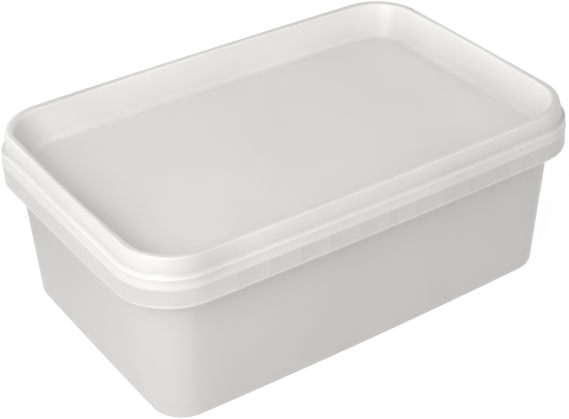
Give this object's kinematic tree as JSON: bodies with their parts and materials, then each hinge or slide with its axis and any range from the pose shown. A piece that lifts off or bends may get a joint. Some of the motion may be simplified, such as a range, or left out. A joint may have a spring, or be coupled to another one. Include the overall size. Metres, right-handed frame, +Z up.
{
  "type": "ice cream tub",
  "caption": "Shut rectangular plastic ice cream tub with round corners, tapering sides and a press-on lid with a raised rim round a deep recessed top.",
  "frame": {"origin": "middle of the tub's flat base, on the surface that it stands on", "axes": "+X along the long side, +Y along the short side towards the back, +Z up through the lid"},
  "size_m": [0.228, 0.151, 0.0866],
  "materials": {
    "lid": "milky natural polypropylene, injection moulded, satin",
    "tub": "milky natural polypropylene, injection moulded, satin"
  },
  "bodies": {
    "root": {"lid": "lid", "tub": "tub"}
  },
  "joints": []
}
